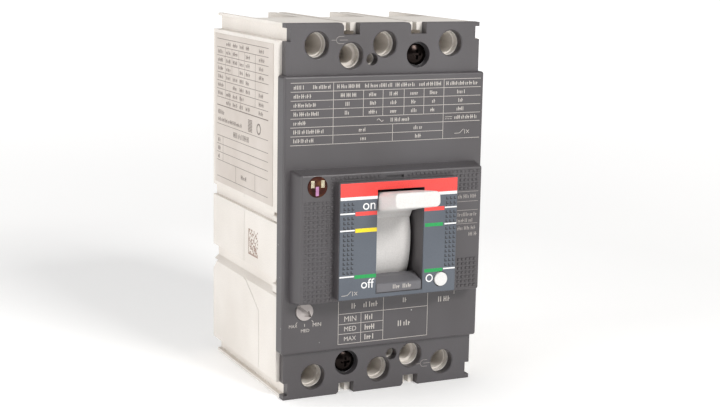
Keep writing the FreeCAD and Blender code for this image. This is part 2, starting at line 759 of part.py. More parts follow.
def make_chute(name, side):
    """An arc chute: slotted steel plates held between two fibre sides."""
    x = pole(side)
    plates = new_body(f"arc_plates_{name}")
    outline = [
        (f"{x} - 8.1", "27.5"), (f"{x} - 4.3", "27.5"), (f"{x} - 4.3", "37.5"), (f"{x} - 2.6", "40"),
        (f"{x} + 2.6", "40"), (f"{x} + 4.3", "37.5"), (f"{x} + 4.3", "27.5"), (f"{x} + 8.1", "27.5"),
        (f"{x} + 8.1", "43.2"), (f"{x} - 8.1", "43.2"),
    ]
    first = pad(plates, "plate", "XZ_Plane", "29", "1", [outline])
    row = plates.newObject("PartDesign::LinearPattern", f"arc_row_{name}")
    row.Originals = [first]
    front = next(item for item in plates.Origin.OriginFeatures if item.Role == "Y_Axis")
    row.Direction = (front, [""])
    row.Reversed = True
    row.Length = PLATE_PITCH * (PLATE_COUNT - 1)
    row.Occurrences = PLATE_COUNT
    plates.Tip = row
    doc.recompute()
    size = ("0.8", "29.4", "16.6")
    sides = [box(f"arc_side_{name}_{word}", (f"{x} + ({offset})", "-57.4", "27"), size)
             for word, offset in (("a", "-8.95"), ("b", "8.15"))]
    return [plates, group(f"arc_sides_{name}", sides)]


def make_load_pole(name, side):
    """Bimetal strip and magnet yoke round the heater strip of one pole."""
    x = pole(side)
    strip = box(f"bimetal_{name}_strip", (f"{x} - 3", "-23.6", "-42"), ("6", "1", "14.5"))
    rivet = box(f"bimetal_{name}_rivet", (f"{x} - 3", "-22.6", "-31"), ("6", "2.6", "3.5"))
    screw = rod(f"bimetal_{name}_screw", "Y", (x, "-27.4", "-40.6"), "1.1", "3.8")
    bimetal = fuse(f"bimetal_{name}", [strip, rivet, screw])
    back = box(f"yoke_{name}_back", (f"{x} - 8.4", "-16.9", "-36"), ("16.8", "2", "10"))
    cheek = [("-32", "-26"), ("-14.9", "-26"), ("-14.9", "-36"), ("-31", "-36"), ("-33", "-39.4"),
             ("-36.4", "-39.4"), ("-36.4", "-35.4"), ("-32", "-34")]
    eye = [circle("-armature_depth", "armature_height", "1.0")]
    cheeks = [prism(f"yoke_{name}_a", cheek, f"{x} - 8.4", "1.4", eye),
              prism(f"yoke_{name}_b", cheek, f"{x} + 7", "1.4", eye)]
    yoke = fuse(f"magnet_yoke_{name}", [back, *cheeks])
    plate = box(f"armature_{name}_plate", (f"{x} - 6.6", "-35", "-38.1"), ("13.2", "1.2", "14.6"))
    place = (f"{x} - 8.3", "-armature_depth", "armature_height")
    axle = rod(f"armature_{name}_axle", "X", place, "0.92", "16.6")
    hook = [("-35", "-23.5"), ("-33.8", "-23.5"), ("-33.8", "-22.3"), ("-44.5", "-22.3"),
            ("-44.5", "-25.6"), ("-43.3", "-25.6"), ("-43.3", "-23.5")]
    arm = prism(f"armature_{name}_hook", hook, f"{x} - 5.8", "3.2")
    armature = fuse(f"armature_{name}", [plate, axle, arm])
    return [bimetal, yoke, armature]


# ---------------------------------------------------------------- mechanism

def make_frames():
    """The two steel side plates of the mechanism."""
    outline = [("-56", "-23"), ("-36", "-23.4"), ("-34.6", "-21"), ("-34.6", "20.5"), ("-52", "20.5"),
               ("-56", "14"), ("-57.5", "-8")]
    eyes = [circle(f"-{word}_depth", f"{word}_height", "pin_radius")
            for word in ("pivot", "cradle", "latch")]
    return [prism("mech_frame_left", outline, from_mech("-10.2"), "1.2", eyes),
            prism("mech_frame_right", outline, from_mech("9"), "1.2", eyes)]


def make_pins():
    """Fixed pins of the mechanism, one for each pivot."""
    spans = (("pivot", "10.2"), ("cradle", "10.2"), ("latch", "10.2"), ("hook", "6.5"))
    pins = [rod(f"{word}_pin", "X", (from_mech(f"-{half}"), f"-{word}_depth", f"{word}_height"),
                "pin_radius", f"2 * {half}") for word, half in spans]
    return group("mech_pins", pins)


def make_cradle():
    """The cradle that holds up the toggle while its nose sits under the latch."""
    outline = [("-40.3", "15.6"), ("-40.3", "18.8"), ("-43", "19.5"), ("-50.5", "13"), ("-54.4", "6"),
               ("-54.4", "-4.6"), ("-51.6", "-5.2"), ("-51.2", "3"), ("-48", "7.4"), ("-43.4", "13.8")]
    eyes = [circle("-cradle_depth", "cradle_height", "pin_radius"),
            circle("-hook_depth", "hook_height", "pin_radius")]
    return prism("cradle", outline, from_mech("-1.2"), "2.4", eyes)


def make_latch():
    """The latch whose lip holds the nose of the cradle."""
    outline = [("-54.4", "-20"), ("-53", "-22.6"), ("-50", "-22.4"), ("-45.2", "-27.2"),
               ("-44.2", "-26.2"), ("-49.6", "-19"), ("-53.6", "-14"), ("-55.2", "-8.6"),
               ("-51.6", "-7.4"), ("-51.6", "-5.6"), ("-57.4", "-6.6"), ("-56.4", "-14")]
    eye = [circle("-latch_depth", "latch_height", "pin_radius + 0.06")]
    return prism("latch", outline, from_mech("-1.2"), "2.4", eye)


def link(name, first, second, start, length, radius_first, radius_second):
    """A flat link between two pivots, each given by its name in the sheet."""
    ends = []
    for word, radius in ((first, radius_first), (second, radius_second)):
        place = (f"{start}", f"-{word}_depth", f"{word}_height")
        behind = (f"{start} - 1", *place[1:])
        boss = rod(f"{name}_{word}_boss", "X", place, f"{radius} + 1.0", length)
        ends.append((boss, rod(f"{name}_{word}_eye", "X", behind, radius, f"{length} + 2")))
    across = number(f"-{second}_depth + {first}_depth")
    up = number(f"{second}_height - {first}_height")
    normal = Vector(0, -up, across).normalize() * 1.7
    waist = []
    for word, sign in ((first, 1), (second, 1), (second, -1), (first, -1)):
        waist.append((f"-{word}_depth + ({sign * normal.y:.4f})",
                      f"{word}_height + ({sign * normal.z:.4f})"))
    web = prism(name + "_web", waist, start, length)
    blank = fuse(name + "_blank", [web, ends[0][0], ends[1][0]])
    return cut(name, blank, [ends[0][1], ends[1][1]])


def make_links():
    """The toggle: two upper links with the knee pin, and two lower links."""
    fit, loose = "pin_radius + 0.06", "pin_radius + 0.75"
    upper = [link("upper_link_a", "hook", "knee", from_mech("-6.4"), "1", fit, "pin_radius"),
             link("upper_link_b", "hook", "knee", from_mech("5.4"), "1", fit, "pin_radius")]
    lower = [link("lower_link_a", "knee", "crank", from_mech("-5.2"), "1", loose, fit),
             link("lower_link_b", "knee", "crank", from_mech("4.2"), "1", loose, fit)]
    knee = rod("knee_pin", "X", (from_mech("-6.4"), "-knee_depth", "knee_height"), "pin_radius", "12.8")
    return [group("upper_links", upper), knee, group("lower_links", lower)]


def make_main_springs():
    """Two springs that pull the knee towards the fork."""
    start, length = "-anchor_depth + 1.4", "anchor_depth - knee_depth - 2.8"
    springs = []
    for word, offset in (("a", "-2.6"), ("b", "2.6")):
        place = (from_mech(offset), start, "knee_height")
        springs.append(coil(f"main_spring_{word}", "Y", place, "0.85", "0.3", "1.1", length))
    return group("main_springs", springs)


def make_fork():
    """The steel fork under the handle, from its pivot to the web that holds the springs."""
    leg = about("-pivot_depth", "pivot_height", [
        (3.2, -1.6), (3.2, 1.6), (1.2, 3.4), (-14.6, 17.6), (-17.6, 14.0), (-17.6, 12.6), (-3.0, -2.8),
        (0.4, -3.4)])
    eye = [circle("-pivot_depth", "pivot_height", "pin_radius + 0.06")]
    legs = [prism("fork_leg_left", leg, from_mech("-8"), "1.2", eye),
            prism("fork_leg_right", leg, from_mech("6.8"), "1.2", eye)]
    web = about("-anchor_depth", "anchor_height", [(1.4, 3.1), (-1.6, -0.5), (-2.7, 0.4), (0.3, 4.0)])
    bridge = prism("fork_web", web, from_mech("-8"), "16")
    anchor = rod("spring_anchor", "X", (from_mech("-8"), "-anchor_depth", "anchor_height"), "1.0", "16")
    return fuse("handle_fork", [*legs, bridge, anchor])


def make_handle():
    """The white handle: a curved drum that closes the slot, and the grip."""
    sector = doc.addObject("Part::Cylinder", "drum_sector")
    bind(sector, Radius="drum_radius", Height="2 * drum_half")
    sector.Angle = 113
    sector.Placement = FreeCAD.Placement(
        Vector(), Rotation(Vector(1, 0, 0), 102) * Rotation(Vector(1, 1, 1), 120))
    move_to(sector, (from_mech("-drum_half"), "-pivot_depth", "pivot_height"))
    inside = rod("drum_inside", "X", (from_mech("-drum_half - 1"), "-pivot_depth", "pivot_height"),
                 "drum_radius - drum_wall", "2 * drum_half + 2")
    drum = cut("drum", sector, [inside])
    grip = new_body("grip")
    outline = [("-93.9", "5.3"), ("-93.3", "10.5"), ("-80.5", "8.7"), ("-70", "7.2"), ("-65.2", "6.6"),
               ("-67.6", "-1.6"), ("-70.4", "-3.4"), ("-72.4", "-0.2"), ("-80.5", "2.2")]
    start, width = from_mech("-drum_half - 0.3"), "2 * drum_half + 0.6"
    block = pad(grip, "block", "YZ_Plane", start, width, [outline])

    def long_edges(edge, middle):
        return middle.y < -80 and not runs_along(edge, "x") and edge.Length > 8

    sides = round_edges(grip, block, "side_rounding", "1.7", long_edges)

    def tip_edges(edge, middle):
        return middle.y < -92.6

    round_edges(grip, sides, "tip_rounding", "0.7", tip_edges)
    return fuse("handle", [drum, grip])


def make_trip_bar():
    """The trip bar across the poles, with the levers that turn it."""
    bar = rod("trip_shaft", "X", ("-33", "-trip_depth", "trip_height"), "trip_radius", "66")
    levers = []
    for name, k in POLES:
        upper = [("-41.2", "-31"), ("-39.8", "-31"), ("-39.8", "-24.4"), ("-41.2", "-24.4")]
        levers.append(prism(f"trip_finger_{name}", upper, f"{pole(k)} - 5.7", "3"))
        lower = [("-41.2", "-31"), ("-39.6", "-31"), ("-39.6", "-40"), ("-29", "-40"), ("-29", "-41.3"),
                 ("-41.2", "-41.3")]
        levers.append(prism(f"trip_foot_{name}", lower, f"{pole(k)} - 1.5", "3"))
    push = [("-41.2", "-31"), ("-38.8", "-31"), ("-38.8", "-21"), ("-41.6", "-21"), ("-42.2", "-23.3"),
            ("-41.2", "-24.6")]
    levers.append(prism("trip_push", push, "button_across - 1.1", "2.2"))
    lift = [("-40", "-33"), ("-40", "-29.8"), ("-46.4", "-29.2"), ("-46.4", "-30.6")]
    levers.append(prism("trip_lift", lift, from_mech("-1.1"), "2.2"))
    return fuse("trip_bar", [bar, *levers])


def make_button():
    """The round trip button with its long stem, and its return spring."""
    head = rod("button_head", "Y", ("button_across", "-81.1", "button_height"), "button_radius", "12.1")
    stem = rod("button_stem", "Y", ("button_across", "-69.5", "button_height"), "1.25", "26.5")
    return [fuse("trip_button", [head, stem]), make_button_spring()]


def make_button_spring():
    """A folded spring sleeve round the stem: a thin wall that zigzags between two radii."""
    folds, wall = 7, 0.17
    ridge = [(2.2 if k % 2 else 1.62, -68.9 + 0.6 * k) for k in range(folds + 1)]
    outside = [(f"{radius + wall}", f"{depth}") for radius, depth in ridge]
    inside = [(f"{radius - wall}", f"{depth}") for radius, depth in reversed(ridge)]
    body = new_body("button_spring")
    profile = add_profile(body, "button_spring_sketch", "XY_Plane", "0", [outside + inside])
    turn = body.newObject("PartDesign::Revolution", "button_spring_turn")
    turn.Profile = profile
    turn.ReferenceAxis = (profile, ["V_Axis"])
    turn.Angle = 360
    move_to(body, ("button_across", "0", "button_height"))
    return body


def turned(degrees, points):
    """Outline points about the dial's centre, turned anticlockwise as seen from the front."""
    cosine, sine = math.cos(math.radians(degrees)), math.sin(math.radians(degrees))
    return about("dial_across", "dial_height",
                 [(f"{u * cosine - v * sine:.4f}", f"{u * sine + v * cosine:.4f}") for u, v in points])


def make_dial():
    """The slotted current dial, its crank pin, and the bar that it shifts."""
    across, up = "dial_across", "dial_height"
    head = rod("dial_head", "Y", (across, "-70.6", up), "dial_radius", "5.6")
    shaft = rod("dial_shaft", "Y", (across, "-65.2", up), "1.6", "6.4")
    pin_across, pin_up = "dial_across + 1.15", "dial_height - 0.96"
    crank = rod("dial_crank", "Y", (pin_across, "-59", pin_up), "0.7", "4.2")
    blank = fuse("dial_blank", [head, shaft, crank])
    groove = new_body("dial_groove")
    arrow = [(-3.3, -0.55), (0.9, -0.55), (0.9, -1.3), (3.3, 0), (0.9, 1.3), (0.9, 0.55), (-3.3, 0.55)]
    pad(groove, "arrow", "XZ_Plane", "69.6", "1.2", [turned(-40, arrow)])
    dial = cut("adjust_dial", blank, [groove])
    bar = box("slide_bar", ("-31.4", "-59.6", "-42.8"), ("63.8", "2", "2.6"))
    tab = box("slide_tab", ("-31.8", "-57.6", "-42.8"), ("5.6", "1.6", "11.6"))
    foot = box("slide_foot", ("-31.8", "-59.6", "-42.8"), ("5.6", "3.6", "2.6"))
    hole = box("slide_hole", (f"{pin_across} - 0.95", "-58", f"{up} - 2.7"), ("1.9", "3", "2.9"))
    slide = cut("adjust_slide", fuse("slide_blank", [bar, tab, foot]), [hole])
    return [dial, slide]


# ---------------------------------------------------------------- labels

def make_labels():
    """The rating label on the left side and the round seal on the nose."""
    side = box("side_label", ("-case_width / 2 - 0.15", "-60.6", "2.2"), ("0.15", "58.2", "55.6"))
    seal = rod("seal_sticker", "Y", ("-28.6", "-nose_face - 0.15", "11.2"), "3.6", "0.15")
    return [side, seal]


def make_all():
    """Every sub-part of the breaker."""
    parts = [make_base(), make_body(), make_cover(), make_face_label(), make_rating_block()]
    parts += make_labels() + make_screws()
    for name, k in POLES:
        parts.append(make_terminal(f"line_terminal_{name}", k, 1, "29"))
        parts.append(make_terminal(f"load_terminal_{name}", k, -1, "-22"))
        parts.append(make_arm(name, k))
        parts += make_chute(name, k)
        parts += make_load_pole(name, k)
    parts += [make_nuts(), make_braids(), make_pins(), make_cradle(), make_latch(), make_main_springs()]
    parts += make_contacts() + make_shaft() + make_frames() + make_links()
    parts += [make_fork(), make_handle(), make_trip_bar()] + make_button() + make_dial()
    return parts


parts = make_all()
doc.recompute()
for item in doc.Objects:
    if "Invalid" in item.State or "Error" in item.State:
        raise RuntimeError(f"{item.Name} could not be computed: {item.State}")
os.makedirs("parts", exist_ok=True)
for part in parts:
    if part.Shape.isNull() or not part.Shape.isValid():
        raise RuntimeError(f"{part.Label} is not a valid shape")
    part.Shape.exportStep(f"parts/{part.Label}.step")
    print(part.Label, len(part.Shape.Solids), round(part.Shape.Volume, 1))
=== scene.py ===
import math
import random

import bmesh
import bpy
from mathutils import Matrix, Quaternion, Vector


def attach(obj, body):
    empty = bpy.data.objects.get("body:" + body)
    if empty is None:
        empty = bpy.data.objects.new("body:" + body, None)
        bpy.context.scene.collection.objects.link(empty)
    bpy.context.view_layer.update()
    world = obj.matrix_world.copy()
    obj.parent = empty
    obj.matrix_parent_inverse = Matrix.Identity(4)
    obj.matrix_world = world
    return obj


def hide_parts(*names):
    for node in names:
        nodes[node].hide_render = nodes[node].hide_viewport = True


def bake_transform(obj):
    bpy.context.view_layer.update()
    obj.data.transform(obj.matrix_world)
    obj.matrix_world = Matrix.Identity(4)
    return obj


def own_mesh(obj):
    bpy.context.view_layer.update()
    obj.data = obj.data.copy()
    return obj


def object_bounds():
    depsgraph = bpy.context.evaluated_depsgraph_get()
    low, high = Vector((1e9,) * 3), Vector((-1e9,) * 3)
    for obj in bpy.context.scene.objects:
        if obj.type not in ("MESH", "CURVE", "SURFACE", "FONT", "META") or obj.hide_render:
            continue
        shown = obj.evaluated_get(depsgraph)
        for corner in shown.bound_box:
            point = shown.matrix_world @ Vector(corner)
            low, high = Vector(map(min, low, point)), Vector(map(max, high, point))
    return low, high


# A three-pole circuit breaker. Lengths are in millimetres times MM, in the CAD frame: +X right,
# -Y towards the viewer, +Z up. "Depth" is how far a face stands in front of the back plane.
MM = 0.001
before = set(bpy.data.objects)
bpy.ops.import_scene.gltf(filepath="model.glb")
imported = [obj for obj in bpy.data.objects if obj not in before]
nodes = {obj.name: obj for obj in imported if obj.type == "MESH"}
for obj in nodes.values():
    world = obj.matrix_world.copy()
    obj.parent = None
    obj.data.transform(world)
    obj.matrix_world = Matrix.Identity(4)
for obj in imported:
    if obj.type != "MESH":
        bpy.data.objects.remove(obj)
cad_low, cad_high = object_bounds()


# ---------------------------------------------------------------- camera, floor and light

AZIMUTH, ELEVATION, ROLL = (math.radians(a) for a in (-25.26, 10.44, 1.06))
TARGET = Vector((7.03, -35.0, -3.92)) * MM
DISTANCE = 540 * MM

backward = Vector((
    math.sin(AZIMUTH) * math.cos(ELEVATION),
    -math.cos(AZIMUTH) * math.cos(ELEVATION),
    math.sin(ELEVATION),
))
lens = bpy.data.cameras.new("camera")
lens.lens = 72.6
lens.sensor_width = 36
lens.clip_start = 0.01
lens.clip_end = 50
camera = bpy.data.objects.new("camera", lens)
camera.rotation_mode = "QUATERNION"
camera.rotation_quaternion = (-backward).to_track_quat("-Z", "Y") @ Quaternion((0, 0, 1), ROLL)
camera.location = TARGET + backward * DISTANCE
bpy.context.scene.collection.objects.link(camera)
bpy.context.scene.camera = camera
bpy.context.scene.view_settings.view_transform = "Standard"


def add(tree, kind, inputs=None, **settings):
    """A new node; inputs are values, or sockets to link from."""
    node = tree.nodes.new(kind)
    for key, value in settings.items():
        setattr(node, key, value)
    for key, value in (inputs or {}).items():
        if isinstance(value, bpy.types.NodeSocket):
            tree.links.new(value, node.inputs[key])
        else:
            node.inputs[key].default_value = value
    return node


def srgb(red, green, blue):
    """A linear colour from 0-255 display values."""
    def linear(v):
        v /= 255
        return v / 12.92 if v <= 0.04045 else ((v + 0.055) / 1.055) ** 2.4
    return (linear(red), linear(green), linear(blue), 1.0)


def softbox(name, place, size, watts, colour=(1, 1, 1)):
    """A rectangular soft light that looks at the object's middle."""
    data = bpy.data.lights.new(name, "AREA")
    data.shape = "RECTANGLE"
    data.size, data.size_y = size
    data.energy = watts
    data.color = colour
    lamp = bpy.data.objects.new(name, data)
    lamp.location = place
    lamp.rotation_mode = "QUATERNION"
    lamp.rotation_quaternion = (Vector((0, -0.04, 0)) - Vector(place)).to_track_quat("-Z", "Y")
    bpy.context.scene.collection.objects.link(lamp)


softbox("key", (0.3, -1.15, 0.75), (0.35, 0.35), 12.0, (1.0, 0.99, 0.97))
softbox("left", (-1.3, -0.2, 0.3), (0.9, 1.0), 9.0, (1.0, 0.99, 0.98))
softbox("sheen", (0.6, -1.3, -0.15), (0.8, 0.8), 2.2)
softbox("top", (-0.2, 0.1, 1.3), (0.8, 0.8), 5.0)

world = bpy.data.worlds.new("studio")
world.use_nodes = True
bpy.context.scene.world = world
tree = world.node_tree
seen = add(tree, "ShaderNodeBackground", {"Color": (1, 1, 1, 1), "Strength": 1.0})
lit = tree.nodes["Background"]
lit.inputs["Color"].default_value = (1, 0.99, 0.98, 1)
lit.inputs["Strength"].default_value = 0.27
path = add(tree, "ShaderNodeLightPath")
choice = add(tree, "ShaderNodeMixShader", {
    0: path.outputs["Is Camera Ray"], 1: lit.outputs[0], 2: seen.outputs[0],
})
tree.links.new(choice.outputs[0], tree.nodes["World Output"].inputs["Surface"])


# ---------------------------------------------------------------- materials

def start(name):
    """A new material's tree, its principled shader and its object coordinates."""
    material = bpy.data.materials.new(name)
    material.use_nodes = True
    tree = material.node_tree
    shader = tree.nodes["Principled BSDF"]
    place = add(tree, "ShaderNodeTexCoord").outputs["Object"]
    return material, tree, shader, place


def noise(tree, place, size, detail=3.0):
    """Noise whose features are about size millimetres."""
    return add(tree, "ShaderNodeTexNoise", {
        "Vector": place, "Scale": 1 / (size * MM), "Detail": detail, "Roughness": 0.55,
    }).outputs["Fac"]


def blend_colours(tree, share, first, second, mode="MIX"):
    node = add(tree, "ShaderNodeMix", {0: share}, data_type="RGBA", blend_type=mode)
    for index, colour in ((6, first), (7, second)):
        if isinstance(colour, bpy.types.NodeSocket):
            tree.links.new(colour, node.inputs[index])
        else:
            node.inputs[index].default_value = colour
    return node.outputs[2]


def spread(tree, value, low, high, first=0.3, last=0.7):
    """value mapped from first..last to low..high."""
    return add(tree, "ShaderNodeMapRange", {
        "Value": value, "From Min": first, "From Max": last, "To Min": low, "To Max": high,
    }).outputs["Result"]


def relief(tree, shader, height, depth, edge=0.0, strength=1.0):
    """Bump of depth millimetres, on edges rounded by edge millimetres."""
    inputs = {"Height": height, "Distance": depth * MM, "Strength": strength}
    if edge:
        inputs["Normal"] = add(tree, "ShaderNodeBevel", {"Radius": edge * MM}, samples=4).outputs[0]
    node = add(tree, "ShaderNodeBump", inputs)
    tree.links.new(node.outputs[0], shader.inputs["Normal"])


def moulded(name, dark, light, rough, grain=0.35, depth=0.02, dust=None, edge=0.2, sheen=0.4):
    """Moulded plastic: slow colour drift, a fine spark-eroded grain and, if dust is a colour,
    sparse specks of dust."""
    material, tree, shader, place = start(name)
    drift = noise(tree, place, 26, 2)
    fine = noise(tree, place, grain)
    colour = blend_colours(tree, spread(tree, drift, 0, 1), dark, light)
    shade = spread(tree, fine, 0.93, 1.05)
    tone = add(tree, "ShaderNodeCombineColor", {0: shade, 1: shade, 2: shade}).outputs[0]
    colour = blend_colours(tree, 1.0, colour, tone, "MULTIPLY")
    if dust:
        cells = add(tree, "ShaderNodeTexVoronoi", {"Vector": place, "Scale": 165, "Randomness": 1})
        speck = spread(tree, cells.outputs["Distance"], 1, 0, 0.018, 0.045)
        rare = spread(tree, noise(tree, place, 11), 0, 1, 0.52, 0.6)
        both = add(tree, "ShaderNodeMath", {0: speck, 1: rare}, operation="MULTIPLY").outputs[0]
        colour = blend_colours(tree, both, colour, dust)
    tree.links.new(colour, shader.inputs["Base Color"])
    tree.links.new(spread(tree, fine, rough - 0.05, rough + 0.07), shader.inputs["Roughness"])
    shader.inputs["Specular IOR Level"].default_value = sheen
    relief(tree, shader, fine, depth, edge)
    return material


def metal(name, dark, light, rough, stretch=(1, 1, 1), grain=0.25, depth=0.01, stain=None):
    """Plated or bare metal with rolling marks drawn out along one axis, and dull patches."""
    material, tree, shader, place = start(name)
    drawn = add(tree, "ShaderNodeMapping", {"Vector": place, "Scale": stretch}).outputs[0]
    lines = noise(tree, drawn, grain, 4)
    patches = noise(tree, place, 5, 3)
    colour = blend_colours(tree, spread(tree, lines, 0, 1), dark, light)
    if stain:
        colour = blend_colours(tree, spread(tree, patches, 0, 0.55, 0.5, 0.72), colour, stain)
    tree.links.new(colour, shader.inputs["Base Color"])
    tree.links.new(spread(tree, patches, rough - 0.07, rough + 0.1), shader.inputs["Roughness"])
    shader.inputs["Metallic"].default_value = 1.0
    relief(tree, shader, lines, depth, 0.1)
    return material


def ink(name, colour, rough=0.45):
    """Printed ink, and the painted shade of the mask's dimples: slightly uneven in tone and gloss."""
    material, tree, shader, place = start(name)
    mottle = noise(tree, place, 0.5, 2)
    worn = tuple(0.82 * v for v in colour[:3]) + (1.0,)
    mixed = blend_colours(tree, spread(tree, mottle, 0, 1), worn, colour)
    tree.links.new(mixed, shader.inputs["Base Color"])
    tree.links.new(spread(tree, mottle, rough - 0.08, rough + 0.08), shader.inputs["Roughness"])
    relief(tree, shader, mottle, 0.004)
    return material


def paper(name, dark, light):
    """A printed paper label: fibres and a faint grain."""
    material, tree, shader, place = start(name)
    fibres = add(tree, "ShaderNodeMapping", {"Vector": place, "Scale": (1, 1, 5)}).outputs[0]
    strands = noise(tree, fibres, 0.6, 5)
    broad = noise(tree, place, 14, 2)
    colour = blend_colours(tree, spread(tree, broad, 0, 1), dark, light)
    shade = spread(tree, strands, 0.95, 1.03)
    tone = add(tree, "ShaderNodeCombineColor", {0: shade, 1: shade, 2: shade}).outputs[0]
    tree.links.new(blend_colours(tree, 1.0, colour, tone, "MULTIPLY"), shader.inputs["Base Color"])
    tree.links.new(spread(tree, strands, 0.55, 0.7), shader.inputs["Roughness"])
    relief(tree, shader, strands, 0.01, 0.1)
    return material


def foil(name):
    """A dark iridescent security foil with a fine grating."""
    material, tree, shader, place = start(name)
    grating = add(tree, "ShaderNodeTexWave", {"Vector": place, "Scale": 900, "Distortion": 3})
    sheen = noise(tree, place, 3.5, 2)
    colours = add(tree, "ShaderNodeValToRGB", {"Fac": sheen})
    stops = colours.color_ramp.elements
    stops[0].position, stops[0].color = 0.35, srgb(38, 20, 14)
    stops[1].position, stops[1].color = 0.66, srgb(92, 62, 38)
    middle = stops.new(0.5)
    middle.color = srgb(60, 30, 24)
    tree.links.new(colours.outputs[0], shader.inputs["Base Color"])
    shader.inputs["Metallic"].default_value = 0.85
    tree.links.new(spread(tree, sheen, 0.1, 0.24), shader.inputs["Roughness"])
    relief(tree, shader, grating.outputs["Fac"], 0.004, 0.1)
    return material


DUST = srgb(205, 203, 200)
finish = {
    "case_grey": moulded("case_grey", srgb(226, 220, 213), srgb(236, 231, 225), 0.5),
    "cover_dark": moulded("cover_dark", srgb(66, 62, 64), srgb(75, 72, 75), 0.38, dust=DUST, sheen=0.7),
    "label_blue": moulded("label_blue", srgb(85, 91, 100), srgb(94, 100, 109), 0.36,
                          grain=0.5, depth=0.006, edge=0.1),
    "plug_dark": moulded("plug_dark", srgb(100, 99, 103), srgb(112, 111, 115), 0.4),
    "label_paper": paper("label_paper", srgb(203, 194, 186), srgb(213, 205, 198)),
    "seal_foil": foil("seal_foil"),
    "screw_black": metal("screw_black", srgb(22, 18, 17), srgb(40, 34, 32), 0.16, depth=0.006),
    "zinc_steel": metal("zinc_steel", srgb(150, 150, 146), srgb(196, 195, 188), 0.32,
                        (1, 1, 6), stain=srgb(150, 140, 118)),
    "spring_steel": metal("spring_steel", srgb(96, 98, 102), srgb(150, 152, 156), 0.28, (4, 1, 4)),
    "braid_copper": metal("braid_copper", srgb(150, 78, 44), srgb(214, 132, 88), 0.34, (1, 6, 1)),
    "silver": metal("silver", srgb(198, 196, 190), srgb(232, 230, 224), 0.26,
                    stain=srgb(150, 140, 120)),
    "copper_tinned": metal("copper_tinned", srgb(176, 172, 164), srgb(216, 212, 204), 0.34,
                           (7, 1, 1), stain=srgb(168, 146, 120)),
    "copper_bare": metal("copper_bare", srgb(158, 84, 52), srgb(216, 136, 96), 0.3,
                         (6, 1, 1), stain=srgb(112, 62, 44)),
    "chute_steel": metal("chute_steel", srgb(120, 122, 124), srgb(168, 170, 170), 0.38,
                         (1, 1, 5), stain=srgb(120, 100, 80)),
    "fibre_red": moulded("fibre_red", srgb(120, 50, 36), srgb(146, 66, 46), 0.6,
                         grain=0.8, depth=0.03),
    "bimetal": metal("bimetal", srgb(160, 150, 132), srgb(200, 192, 172), 0.3, (1, 1, 8),
                     stain=srgb(120, 96, 110)),
    "shaft_black": moulded("shaft_black", srgb(34, 33, 34), srgb(46, 45, 46), 0.45),
    "handle_white": moulded("handle_white", srgb(215, 212, 210), srgb(223, 221, 219), 0.38,
                            grain=0.5, depth=0.008),
    "button_white": moulded("button_white", srgb(214, 213, 212), srgb(222, 221, 220), 0.35,
                            grain=0.5, depth=0.006),
    "dial_grey": moulded("dial_grey", srgb(166, 159, 157), srgb(182, 175, 172), 0.42),
}
INK_LIGHT = ink("ink_light", srgb(196, 190, 184))
INK_DIM = ink("ink_dim", srgb(158, 152, 148))
INK_WHITE = ink("ink_white", srgb(246, 246, 246), 0.35)
INK_RED = ink("ink_red", srgb(245, 72, 66), 0.35)
INK_YELLOW = ink("ink_yellow", srgb(250, 222, 30), 0.35)
INK_GREEN = ink("ink_green", srgb(22, 158, 80), 0.35)
# painted shade: the dark colour of the marks that stand for the shade in the mask's square dimples
PAINTED_SHADE_DARK = ink("painted_dimple_shade", srgb(44, 46, 52))
INK_BROWN = ink("ink_brown", srgb(132, 122, 116), 0.6)
INK_PALE = ink("ink_pale", srgb(172, 148, 136), 0.6)
FOIL_GOLD = ink("foil_gold", srgb(246, 238, 206), 0.25)
FOIL_PINK = ink("foil_pink", srgb(226, 160, 214), 0.25)

for node in nodes.values():
    for holder in node.material_slots:
        name = holder.material.name.split(".")[0]
        holder.material = finish[name]


# ---------------------------------------------------------------- printed marks

